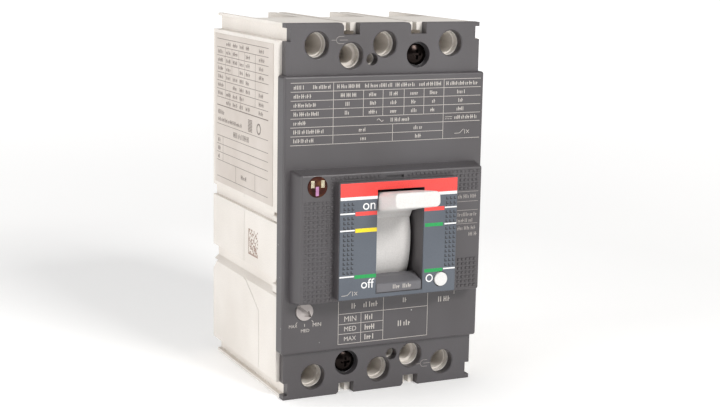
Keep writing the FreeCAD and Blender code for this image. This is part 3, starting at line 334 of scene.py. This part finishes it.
class Print:
    """Closed thin marks on one flat face. u runs right and v runs up as the face is seen."""

    LIFT = 0.03
    SUNK = 0.02

    def __init__(self, name, depth=None, side=None):
        self.name = name
        self.mesh = bmesh.new()
        if side is None:
            columns = ((1, 0, 0), (0, 0, 1), (0, -1, 0), (0, -depth, 0))
        else:
            columns = ((0, -1, 0), (0, 0, 1), (-1, 0, 0), (side, 0, 0))
        self.place = Matrix([[c[row] for c in columns] for row in range(3)] + [[0, 0, 0, 1]])

    def prism(self, outline, low=None, high=None, inset=0.0):
        """An extruded convex outline, given anticlockwise; inset narrows its top."""
        low = -self.SUNK if low is None else low
        high = self.LIFT if high is None else high
        middle = Vector((sum(p[0] for p in outline), sum(p[1] for p in outline))) / len(outline)
        base = [self.mesh.verts.new((u, v, low)) for u, v in outline]
        top = []
        for u, v in outline:
            shift = (middle - Vector((u, v))) * inset
            top.append(self.mesh.verts.new((u + shift.x, v + shift.y, high)))
        self.mesh.faces.new(top)
        self.mesh.faces.new(reversed(base))
        count = len(outline)
        for i in range(count):
            j = (i + 1) % count
            self.mesh.faces.new((base[i], base[j], top[j], top[i]))

    def bar(self, u0, u1, v0, v1, **extra):
        self.prism(((u0, v0), (u1, v0), (u1, v1), (u0, v1)), **extra)

    def line(self, u0, v0, u1, v1, width=0.2):
        """A straight level or upright line."""
        half = width / 2
        self.bar(min(u0, u1) - half, max(u0, u1) + half, min(v0, v1) - half, max(v0, v1) + half)

    def stroke(self, points, width=0.2, closed=False):
        """A ribbon that follows points, with mitred corners."""
        points = [Vector(p) for p in points]
        count = len(points)
        sides = []
        for i, point in enumerate(points):
            before = points[i - 1] if closed or i else None
            after = points[(i + 1) % count] if closed or i < count - 1 else None
            steps = [(b - a).normalized() for a, b in ((before, point), (point, after))
                     if a is not None and b is not None]
            normals = [Vector((-s.y, s.x)) for s in steps]
            normal = sum(normals, Vector((0, 0))).normalized()
            reach = width / 2 / max(0.35, normal.dot(normals[0]))
            rows = []
            for offset, height in ((1, self.LIFT), (-1, self.LIFT), (-1, -self.SUNK),
                                   (1, -self.SUNK)):
                spot = point + normal * reach * offset
                rows.append(self.mesh.verts.new((spot.x, spot.y, height)))
            sides.append(rows)
        for i in range(count if closed else count - 1):
            one, two = sides[i], sides[(i + 1) % count]
            for k in range(4):
                m = (k + 1) % 4
                self.mesh.faces.new((one[k], one[m], two[m], two[k]))
        if not closed:
            self.mesh.faces.new(reversed(sides[0]))
            self.mesh.faces.new(sides[-1])

    def ring(self, u, v, radius, width=0.2, steps=32):
        turn = 2 * math.pi / steps
        self.stroke([(u + radius * math.cos(k * turn), v + radius * math.sin(k * turn))
                     for k in range(steps)], width, closed=True)

    def words(self, u0, u1, v, height, seed):
        """Greeked text centred on v: upright ticks in groups, and no letters."""
        dice = random.Random(seed)
        pitch = 0.44 * height
        u = u0
        while u + pitch <= u1:
            for _ in range(dice.randint(2, 5)):
                if u + 0.3 * height > u1:
                    break
                top = v + height * (0.5 if dice.random() < 0.6 else 0.2)
                self.bar(u, u + 0.19 * height, v - height / 2, top)
                if dice.random() < 0.45:
                    self.bar(u + 0.19 * height, u + 0.4 * height, v - 0.1 * height,
                             v + 0.08 * height)
                u += pitch
            u += 0.6 * pitch

    def text(self, body, u, v, width):
        """A generic word in the plain built-in font, centred, scaled to width."""
        curve = bpy.data.curves.new(self.name, "FONT")
        curve.body = body
        curve.align_x = "CENTER"
        curve.align_y = "CENTER"
        holder = bpy.data.objects.new(self.name, curve)
        bpy.context.scene.collection.objects.link(holder)
        bpy.context.view_layer.update()
        scale = width / holder.dimensions.x
        curve.extrude = (self.LIFT + self.SUNK) / 2 / scale
        shape = bpy.data.meshes.new_from_object(holder)
        centre = sum((Vector(c) for c in holder.bound_box), Vector()) / 8
        bpy.data.objects.remove(holder)
        shift = Matrix.Translation((u, v, (self.LIFT - self.SUNK) / 2))
        shape.transform(shift @ Matrix.Scale(scale, 4) @ Matrix.Translation(-centre))
        self.mesh.from_mesh(shape)
        bpy.data.meshes.remove(shape)

    def done(self, material, body="case"):
        """The finished piece, riding on its body."""
        bmesh.ops.remove_doubles(self.mesh, verts=self.mesh.verts, dist=1e-5)
        bmesh.ops.recalc_face_normals(self.mesh, faces=self.mesh.faces)
        shape = bpy.data.meshes.new(self.name)
        self.mesh.to_mesh(shape)
        self.mesh.free()
        shape.transform(Matrix.Scale(MM, 4) @ self.place)
        shape.materials.append(material)
        piece = bpy.data.objects.new(self.name, shape)
        bpy.context.scene.collection.objects.link(piece)
        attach(piece, body)
        return piece


# depths of the printed faces, and the widths of the lines printed on them
TABLE_LINE, NOSE_LINE, HOOK_LINE, LABEL_LINE, LABEL_RULE = 0.17, 0.16, 0.15, 0.12, 0.18
TERMINAL_FACE = 68.0
BAND_FACE = 70.0
NOSE_FACE = 77.0
MASK_FACE = 80.5
SIDE_FACE = -38.1
LABEL_FACE = -38.25
SMALL_TEXT = 1.35

# rating table above the nose
upper = Print("rating_table_upper", BAND_FACE)
TABLE_TOP, ROW_HEIGHT = 45.4, 3.0
ROWS = [TABLE_TOP - ROW_HEIGHT * k for k in range(8)]
LEFT, RIGHT = -35.6, 36.7
STUB, LAST = -20.1, 22.1
SHORT_ROW = 6
for k, height in enumerate(ROWS):
    end = LAST if k == SHORT_ROW else RIGHT
    upper.line(LEFT, height, end, height, TABLE_LINE)
for across in (STUB, LAST):
    upper.line(across, ROWS[0], across, ROWS[-1], TABLE_LINE)
for across in (-8.9, -1.5, 6.6, 14.3):
    upper.line(across, ROWS[1], across, ROWS[4], TABLE_LINE)
upper.line(2.4, ROWS[5], 2.4, ROWS[7], TABLE_LINE)
middle = [(a + b) / 2 for a, b in zip(ROWS, ROWS[1:])]
# the row, the left end and the right end of each greeked entry
CELLS = [
    (0, -34.6, -30.4), (0, -27.6, -20.8), (0, -18.8, -9.6), (0, -8.4, 2.0), (0, 3.2, 11.0),
    (0, 12.4, 21.2), (0, 23.0, 36.0),
    (1, -34.6, -28.0), (1, -17.4, -11.2), (1, -6.8, -3.4), (1, 1.0, 4.4), (1, 9.0, 12.2),
    (1, 16.6, 19.8), (1, 27.4, 31.0),
    (2, -34.6, -26.4), (2, -15.6, -13.0), (2, -6.4, -4.0), (2, 1.4, 3.8), (2, 9.4, 11.8),
    (2, 17.6, 18.8), (2, 28.0, 30.4),
    (3, -34.6, -25.2), (3, -15.8, -13.4), (3, -6.8, -3.4), (3, 1.4, 3.8), (3, 9.4, 11.8),
    (3, 17.0, 19.4), (3, 27.4, 31.0),
    (4, -34.6, -29.2), (4, 1.6, 9.0), (4, 26.6, 36.0),
    (5, -34.6, -23.2), (5, -10.4, -6.8), (5, 10.6, 14.2),
    (6, -34.6, -26.8), (6, -9.8, -7.4), (6, 11.2, 13.6),
]
for index, (row, first, last) in enumerate(CELLS):
    upper.words(first, last, middle[row], SMALL_TEXT, index)

# signs for alternating and direct current in the fifth row
sign_height = middle[4]
wave = [(-3.6 + 0.15 * k, sign_height + 0.45 * math.sin(k * math.pi / 8)) for k in range(17)]
upper.stroke(wave, 0.18)
for k in range(3):
    upper.line(22.9 + k, sign_height - 0.5, 23.4 + k, sign_height - 0.5, HOOK_LINE)
upper.line(22.9, sign_height + 0.2, 25.6, sign_height + 0.2, HOOK_LINE)


def switch_symbol(print_, u, v, size, width):
    """A contact drawn as a rising line, with a small cross and a bar."""
    print_.stroke([(u - 1.9 * size, v - 0.45 * size), (u - 0.5 * size, v - 0.4 * size),
                   (u + 0.5 * size, v + 0.5 * size)], width)
    print_.line(u + 0.85 * size, v - 0.55 * size, u + 0.85 * size, v + 0.35 * size, width)
    for slope in (1, -1):
        print_.stroke([(u + 1.25 * size, v - 0.1 * size - 0.4 * size * slope),
                       (u + 2.0 * size, v - 0.1 * size + 0.4 * size * slope)], width)


switch_symbol(upper, 29.6, 26.8, 1.5, 0.16)

# rating table below the nose
LOW_ROWS = (-35.6, -39.3, -42.8, -46.4)
LOW_COLUMNS = (-17.0, -8.3, 0.35, 17.9)
lower = Print("rating_table_lower", BAND_FACE)
for height in (LOW_ROWS[0], LOW_ROWS[3]):
    lower.line(LOW_COLUMNS[0], height, LOW_COLUMNS[3], height, TABLE_LINE)
for height in LOW_ROWS[1:3]:
    lower.line(LOW_COLUMNS[0], height, LOW_COLUMNS[2], height, TABLE_LINE)
for across in (LOW_COLUMNS[0], LOW_COLUMNS[2], LOW_COLUMNS[3]):
    lower.line(across, -30.8, across, LOW_ROWS[3], TABLE_LINE)
lower.line(LOW_COLUMNS[1], LOW_ROWS[0], LOW_COLUMNS[1], LOW_ROWS[3], TABLE_LINE)
for word, first, second in zip(("MIN", "MED", "MAX"), LOW_ROWS, LOW_ROWS[1:]):
    lower.text(word, -12.4, (first + second) / 2, 4.6)
for k, (first, second) in enumerate(zip(LOW_ROWS, LOW_ROWS[1:])):
    lower.words(-6.8, -2.6, (first + second) / 2, 1.9, 60 + k)
lower.words(6.2, 12.4, -41.0, 2.0, 70)
lower.words(-12.0, -9.8, -33.0, 1.9, 71)
lower.words(-7.4, -1.4, -32.9, 1.9, 72)
lower.words(8.0, 9.8, -32.6, 1.7, 73)
lower.words(22.2, 27.2, -33.6, 1.9, 74)
lower.line(28.6, -29.9, 28.6, -32.2, TABLE_LINE)

# dial marks
DIAL = (-29.9, -33.3)
for angle, word, u, v in ((-126, "MAX", -34.0, -38.2), (-88, "MED", -29.5, -40.1),
                          (-50, "MIN", -25.1, -38.3)):
    turn = math.radians(angle)
    lower.stroke([(DIAL[0] + r * math.cos(turn), DIAL[1] + r * math.sin(turn))
                  for r in (4.4, 5.4)], 0.18)
    lower.text(word, u, v, 3.1)
lower.done(INK_LIGHT)
upper.done(INK_LIGHT)

# lines and greeked text on the nose
nose = Print("nose_print", NOSE_FACE)
for height in (6.4, 2.9, -0.25, -5.05):
    nose.line(24.2, height, 33.1, height, NOSE_LINE)
for k, (first, last, height) in enumerate((
        (25.2, 32.8, 4.7), (25.2, 33.0, -1.75), (24.8, 32.3, -3.9), (24.6, 32.7, -6.65),
        (29.8, 33.0, -8.9))):
    nose.words(first, last, height, SMALL_TEXT, 90 + k)
nose.done(INK_DIM)

# hook symbols beside the mounting tunnels
hooks = Print("hook_symbols", TERMINAL_FACE)


def hook_symbol(u, v, flip):
    """A half ring round the end of a level line, with a tail behind it."""
    radius, lip, tail = 1.2, 1.6, 2.9
    arc = [(u + flip * radius * math.cos(a), v + radius * math.sin(a))
           for a in (math.radians(90 + 15 * k) for k in range(13))]
    top, low = (u + flip * lip, v + radius), (u + flip * lip, v - radius)
    hooks.stroke([top, *arc, low], HOOK_LINE)
    hooks.line(u - flip * tail, v, u - flip * radius, v, HOOK_LINE)
    hooks.line(u + flip * 0.1, v, u + flip * tail, v, HOOK_LINE)


hook_symbol(-17.2, 59.3, 1)
hook_symbol(17.9, -57.5, 1)
hooks.done(INK_DIM)

# ---------------------------------------------------------------- the handle's mask

MASK_LEFT, MASK_RIGHT, MASK_TOP = -21.7, 22.8, 12.4
SLOT_LEFT, SLOT_RIGHT, SLOT_TOP = -7.75, 9.9, 9.5
RED_LOW, WHITE_LOW = 7.63, 6.6
EDGE, SLOT_GAP = 0.06, 0.1
STRIPE_LEFT, STRIPE_RIGHT = (-16.0, -7.9), (10.1, 17.9)
STRIPE_HALF, GREEN_HALF, RULE_HALF = 0.68, 0.62, 0.24
red = Print("mask_red", MASK_FACE)
red.bar(MASK_LEFT + EDGE, MASK_RIGHT - EDGE, SLOT_TOP + 0.15, MASK_TOP - EDGE)
red.bar(MASK_LEFT + EDGE, SLOT_LEFT - SLOT_GAP, RED_LOW, SLOT_TOP + 0.15)
red.bar(SLOT_RIGHT + SLOT_GAP, MASK_RIGHT - EDGE, RED_LOW, SLOT_TOP + 0.15)
for first, last in (STRIPE_LEFT, STRIPE_RIGHT):
    red.bar(first, last, 1.8 - STRIPE_HALF, 1.8 + STRIPE_HALF)
red.done(INK_RED)
yellow = Print("mask_yellow", MASK_FACE)
yellow.bar(*STRIPE_LEFT, -3.97 - STRIPE_HALF, -3.97 + STRIPE_HALF)
yellow.done(INK_YELLOW)
green = Print("mask_green", MASK_FACE)
for first, last, height in ((-16.0, -7.9, -20.0), (10.5, 17.5, -3.8), (10.7, 17.8, -20.0)):
    green.bar(first, last, height - GREEN_HALF, height + GREEN_HALF)
green.done(INK_GREEN)
white = Print("mask_white", MASK_FACE)
white.bar(MASK_LEFT + EDGE, SLOT_LEFT - SLOT_GAP, WHITE_LOW, RED_LOW)
white.bar(SLOT_RIGHT + SLOT_GAP, MASK_RIGHT - EDGE, WHITE_LOW, RED_LOW)
for height in (2.0, -3.8, -19.75):
    white.bar(MASK_LEFT + EDGE, -16.2, height - RULE_HALF, height + RULE_HALF)
    white.bar(18.1, MASK_RIGHT - EDGE, height - RULE_HALF, height + RULE_HALF)
white.text("on", -10.95, 4.2, 4.6)
white.text("off", -11.0, -22.6, 4.9)
white.ring(12.7, -22.7, 1.2, 0.42)
white.done(INK_WHITE)
symbol = Print("mask_symbol", MASK_FACE)
switch_symbol(symbol, -17.9, -25.6, 1.5, 0.18)
symbol.done(INK_LIGHT)

# painted shade: dark marks where shade falls on the left and lower edges of the plate's small square
# dimples, which are not modelled
DIMPLE_WIDE, DIMPLE_TALL, SHADE_WIDE, SHADE_TALL = 0.95, 1.05, 0.38, 0.37
DIMPLE_PITCH_ACROSS, DIMPLE_PITCH_UP = 1.5, 1.62
dimple_painted_shade = Print("mask_dimple_painted_shade", MASK_FACE)
for first in (-20.5, 18.5):
    for column in range(3):
        u = first + DIMPLE_PITCH_ACROSS * column
        for top, count in ((5.75, 2), (0.9, 3), (-4.9, 9)):
            for row in range(count):
                v = top - DIMPLE_PITCH_UP * row
                foot = v - DIMPLE_TALL
                dimple_painted_shade.bar(u, u + SHADE_WIDE, foot, v)
                dimple_painted_shade.bar(u + SHADE_WIDE, u + DIMPLE_WIDE, foot, foot + SHADE_TALL)
        dimple_painted_shade.bar(u, u + SHADE_WIDE, 2.42, 2.85)
        dimple_painted_shade.bar(u, u + DIMPLE_WIDE, -4.45, -4.2)
dimple_painted_shade.done(PAINTED_SHADE_DARK)

# ---------------------------------------------------------------- bumps moulded on the nose

grid = Print("nose_bumps", NOSE_FACE)
BUMP_HALF, BUMP_PITCH, BUMP_HEIGHT, BUMP_TAPER = 0.52, 1.6, 0.28, 0.4


def row_of(first, count, step=BUMP_PITCH):
    """Evenly spaced positions."""
    return [first + step * k for k in range(count)]


def bumps(columns, rows):
    """A square grid of small blunt pyramids."""
    for u in columns:
        for v in rows:
            grid.bar(u - BUMP_HALF, u + BUMP_HALF, v - BUMP_HALF, v + BUMP_HALF,
                     high=BUMP_HEIGHT, inset=BUMP_TAPER)


LEFT_COLUMNS = row_of(-32.8, 7)
RIGHT_COLUMNS = row_of(24.5, 6)
SLIT_LEFT, SLIT_RIGHT = -4.0, 4.8
bumps(LEFT_COLUMNS, row_of(5.6, 22, -BUMP_PITCH))
bumps(LEFT_COLUMNS[-1:], row_of(7.2, 4))
bumps([u for u in row_of(-23.2, 36) if not SLIT_LEFT < u < SLIT_RIGHT], [13.75])
bumps(RIGHT_COLUMNS, [12.15, 10.55, 8.95, 7.6])
bumps(RIGHT_COLUMNS, row_of(-17.9, 7, -BUMP_PITCH))
grid.done(finish["cover_dark"])

# ---------------------------------------------------------------- round seal

SEAL_FACE = 77.15
gold = Print("seal_marks_gold", SEAL_FACE)
for first in (-31.0, -27.3):
    for k in range(6):
        gold.bar(first, first + 1.25, 11.0 + 0.42 * k, 11.22 + 0.42 * k)
gold.done(FOIL_GOLD)
pink = Print("seal_marks_pink", SEAL_FACE)
for k in range(8):
    pink.bar(-29.25, -28.15, 8.2 + 0.4 * k, 8.44 + 0.4 * k)
pink.done(FOIL_PINK)

# ---------------------------------------------------------------- side label and dot code

label = Print("side_label_print", side=LABEL_FACE)
FRONT, REAR = 56.2, 4.8
LABEL_TOP, LABEL_TEXT_TOP, LABEL_ROW = 55.9, 54.36, 3.07
for k in range(9):
    height = LABEL_TOP - LABEL_ROW * k
    label.line(REAR, height, FRONT, height, 0.2 if k < 8 else 0.34)
for height in (24.4, 20.0, 16.9, 13.8, 10.7, 4.6):
    label.line(REAR, height, FRONT, height, LABEL_RULE)
for row in range(8):
    height = LABEL_TEXT_TOP - LABEL_ROW * row
    for k, (first, last) in enumerate((
            (5.6, 11.5), (14.4, 19.0), (21.4, 26.4), (28.4, 32.6), (34.6, 38.6), (47.4, 52.4))):
        if (row * 5 + k * 3) % 7:
            label.words(first, last, height, 1.4, 200 + 10 * row + k)
for across in (13.4, 43.9):
    label.line(across, 52.8, across, 34.4, LABEL_LINE)
for across in (20.4, 27.4, 33.4):
    label.line(across, 52.8, across, 43.6, LABEL_LINE)
label.line(18.3, 37.5, 18.3, 31.4, LABEL_LINE)
label.line(29.6, 37.5, 29.6, 31.4, LABEL_LINE)
label.words(5.8, 13.0, 28.9, 1.7, 300)
label.words(5.8, 31.0, 26.2, 1.4, 301)
label.words(22.0, 38.0, 22.1, 2.0, 302)
for k in range(9):
    label.bar(37.0, 41.0, 25.2 + 0.5 * k, 25.5 + 0.5 * k)
label.ring(47.4, 27.2, 1.7, 0.6)
for k, height in enumerate((18.4, 15.3, 12.2)):
    label.words(5.8, 8.6, height, 1.5, 310 + k)
label.line(11.0, 20.0, 11.0, 10.7, LABEL_LINE)
label.line(24.6, 10.7, 24.6, 4.6, LABEL_LINE)
label.line(44.0, 10.7, 44.0, 4.6, LABEL_LINE)
label.words(30.0, 36.0, 7.6, 1.5, 320)
label.done(INK_BROWN)

code = Print("side_dot_code", side=SIDE_FACE)
dice = random.Random(5)
CELLS_ACROSS = 14
CODE_SIDE, CODE_REAR, CODE_LOW, CELL_GAP, FILLED = 9.4, 37.4, -19.0, 0.04, 0.48
pitch = CODE_SIDE / CELLS_ACROSS
for column in range(CELLS_ACROSS):
    for row in range(CELLS_ACROSS):
        if column == 0 or row == 0 or dice.random() < FILLED:
            u = CODE_REAR + pitch * column
            v = CODE_LOW + pitch * row
            code.bar(u + CELL_GAP, u + pitch - CELL_GAP, v + CELL_GAP, v + pitch - CELL_GAP)
code.done(INK_PALE)

# greeked rating on the plug beside the handle
RATING_FACE = 80.2
rating = Print("rating_print", RATING_FACE)
rating.words(-1.2, 1.6, -24.6, 1.5, 400)
rating.words(2.6, 6.0, -24.6, 1.5, 401)
rating.done(INK_LIGHT)

# ---------------------------------------------------------------- braids inside the case

POLE_PITCH = 25.4


def skin(mesh, rings):
    """Walls between rings of equally many points, and a cap at each end."""
    for one, two in zip(rings, rings[1:]):
        for k in range(len(one)):
            m = (k + 1) % len(one)
            mesh.faces.new((one[k], one[m], two[m], two[k]))
    mesh.faces.new(reversed(rings[0]))
    mesh.faces.new(rings[-1])


def tube(mesh, points, radius, sides=6):
    """A closed round wire along points, which lie in space."""
    rings = []
    for i, point in enumerate(points):
        ahead = (points[min(i + 1, len(points) - 1)] - points[max(i - 1, 0)]).normalized()
        across = ahead.orthogonal().normalized() if i == 0 else across - ahead * across.dot(ahead)
        across.normalize()
        up = ahead.cross(across)
        angles = [2 * math.pi * k / sides for k in range(sides)]
        rings.append([mesh.verts.new(point + (across * math.cos(a) + up * math.sin(a)) * radius)
                      for a in angles])
    skin(mesh, rings)


def solid_piece(name, mesh, slot, smooth=True):
    """The object made from a mesh built in millimetres, with the finish of a material slot."""
    bmesh.ops.recalc_face_normals(mesh, faces=mesh.faces)
    shape = bpy.data.meshes.new(name)
    mesh.to_mesh(shape)
    mesh.free()
    shape.transform(Matrix.Scale(MM, 4))
    shape.materials.append(finish[slot])
    for polygon in shape.polygons:
        polygon.use_smooth = smooth
    piece = bpy.data.objects.new(name, shape)
    bpy.context.scene.collection.objects.link(piece)
    return piece


def braid(name, across):
    """A flat woven braid that hangs from the tail of an arm down to the foot of its heater."""
    start_point, pull, lead, end_point = (Vector((across, y, z)) for y, z in (
        (-26.6, -11.6), (-26.8, -18.6), (-25.6, -22.2), (-19.8, -24.6)))
    mesh = bmesh.new()
    strands, turns, steps = 8, 2.2, 56
    half_wide, half_thick, weave, wire = 2.05, 0.75, 0.16, 0.26
    for way in (1, -1):
        for number in range(strands):
            line = []
            for i in range(steps + 1):
                t = i / steps
                centre = (start_point * (1 - t) ** 3 + pull * 3 * t * (1 - t) ** 2
                          + lead * 3 * t * t * (1 - t) + end_point * t ** 3)
                along = ((pull - start_point) * (1 - t) ** 2 + (lead - pull) * 2 * t * (1 - t)
                         + (end_point - lead) * t * t).normalized()
                out = along.cross(Vector((1, 0, 0)))
                angle = way * 2 * math.pi * turns * t + 2 * math.pi * number / strands
                lift = 1 + weave * way * math.cos(strands * 2 * math.pi * turns * t)
                line.append(centre + Vector((half_wide * math.cos(angle), 0, 0))
                            + out * half_thick * lift * math.sin(angle))
            tube(mesh, line, wire)
    piece = solid_piece(name, mesh, "braid_copper")
    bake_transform(piece)
    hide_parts("braids")


for word, side in (("left", -1), ("centre", 0), ("right", 1)):
    braid(f"braid_{word}", side * POLE_PITCH)


# ---------------------------------------------------------------- hooks in the side windows

HOOK_REAR, HOOK_FRONT = -59.2, -63.9
HOOK_HEIGHTS = ((-3.0, -0.9), (-28.0, -24.8))
# how far each section of a hook stands from the middle plane, and how far it is drawn in
HOOK_SECTIONS = ((34.9, 0), (37.2, 0), (37.5, 0.3))


def latch_hooks(word, side):
    """The pale hooks behind the two windows of one side."""
    mesh = bmesh.new()
    for low_z, high_z in HOOK_HEIGHTS:
        rings = []
        for across, inset in HOOK_SECTIONS:
            front, rear = HOOK_FRONT + inset, HOOK_REAR - inset
            foot, head = low_z + inset, high_z - inset
            corners = ((front, foot), (rear, foot), (rear, head), (front, head))
            rings.append([mesh.verts.new((side * across, y, z)) for y, z in corners])
        skin(mesh, rings)
    hooks = solid_piece(f"latch_hooks_{word}", mesh, "case_grey", smooth=False)
    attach(hooks, "case")


latch_hooks("left", -1)
latch_hooks("right", 1)


# ---------------------------------------------------------------- return spring of the button

BUTTON_ACROSS, BUTTON_HEIGHT = 17.1, -23.3
SPRING_FRONT, SPRING_BACK, PRESS = -68.95, -64.65, 1.72
COIL_RADIUS, COIL_TURNS, STEPS_A_TURN = 1.95, 4.5, 20
COIL_WIRE, WIRE_SIDES, END_GAP = 0.22, 8, 0.25


def button_coil():
    """The coil round the button's stem, at its rest length."""
    length = SPRING_BACK - SPRING_FRONT
    points = []
    for k in range(int(COIL_TURNS * STEPS_A_TURN) + 1):
        turn = k / STEPS_A_TURN
        angle = 2 * math.pi * turn
        depth = SPRING_FRONT + END_GAP + (length - 2 * END_GAP) * turn / COIL_TURNS
        points.append(Vector((BUTTON_ACROSS + COIL_RADIUS * math.cos(angle), depth,
                              BUTTON_HEIGHT + COIL_RADIUS * math.sin(angle))))
    mesh = bmesh.new()
    tube(mesh, points, COIL_WIRE, WIRE_SIDES)
    spring = solid_piece("button_coil", mesh, "spring_steel")
    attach(spring, "case")
    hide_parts("button_spring")
    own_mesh(spring)


button_coil()


# ---------------------------------------------------------------- floor and finish

FLOOR_HALF = 6
floor_mesh = bpy.data.meshes.new("floor")
floor_shape = bmesh.new()
bmesh.ops.create_grid(floor_shape, x_segments=1, y_segments=1, size=FLOOR_HALF)
floor_shape.to_mesh(floor_mesh)
floor_shape.free()
floor = bpy.data.objects.new("floor", floor_mesh)
floor.location.z = cad_low.z
bpy.context.scene.collection.objects.link(floor)
floor_material, tree, shader, place = start("floor")
CLOUD_SIZE = 400
cloud = noise(tree, place, CLOUD_SIZE, 2)
tree.links.new(blend_colours(tree, cloud, srgb(244, 244, 244), srgb(250, 250, 250)),
               shader.inputs["Base Color"])
shader.inputs["Roughness"].default_value = 0.8
shader.inputs["Emission Color"].default_value = (1, 1, 1, 1)
# the floor glows a little near the object and turns as white as the backdrop far from it
NEAR_GLOW, FAR_GLOW, NEAR_METRES, FAR_METRES = 0.2, 1.0, 0.25, 1.6
distance = add(tree, "ShaderNodeVectorMath", {0: place}, operation="LENGTH").outputs["Value"]
glow = spread(tree, distance, NEAR_GLOW, FAR_GLOW, NEAR_METRES, FAR_METRES)
tree.links.new(glow, shader.inputs["Emission Strength"])
floor_mesh.materials.append(floor_material)
